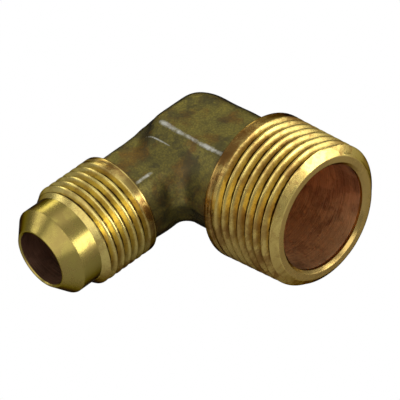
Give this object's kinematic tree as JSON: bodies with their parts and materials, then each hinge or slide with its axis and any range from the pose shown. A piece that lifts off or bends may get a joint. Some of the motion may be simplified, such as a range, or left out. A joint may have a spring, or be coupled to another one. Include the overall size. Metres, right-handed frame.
{
  "type": "flare fitting",
  "caption": "Right-angle brass elbow fitting with a 45 degree flare nose and straight thread at one end and a male taper pipe thread at the other.",
  "frame": {"origin": "where the pipe end's axis and the flare end's axis cross, in the middle of the waterway", "axes": "+X out of the pipe end, -Y out of the flare end, +Z square to both and out of the top wrench flat"},
  "size_m": [0.0418, 0.0499, 0.0268],
  "materials": {
    "brass": "forged body with a brown-green skin, machined threads, nose and bores"
  },
  "bodies": {
    "root": {"elbow_body": "brass"}
  },
  "joints": []
}
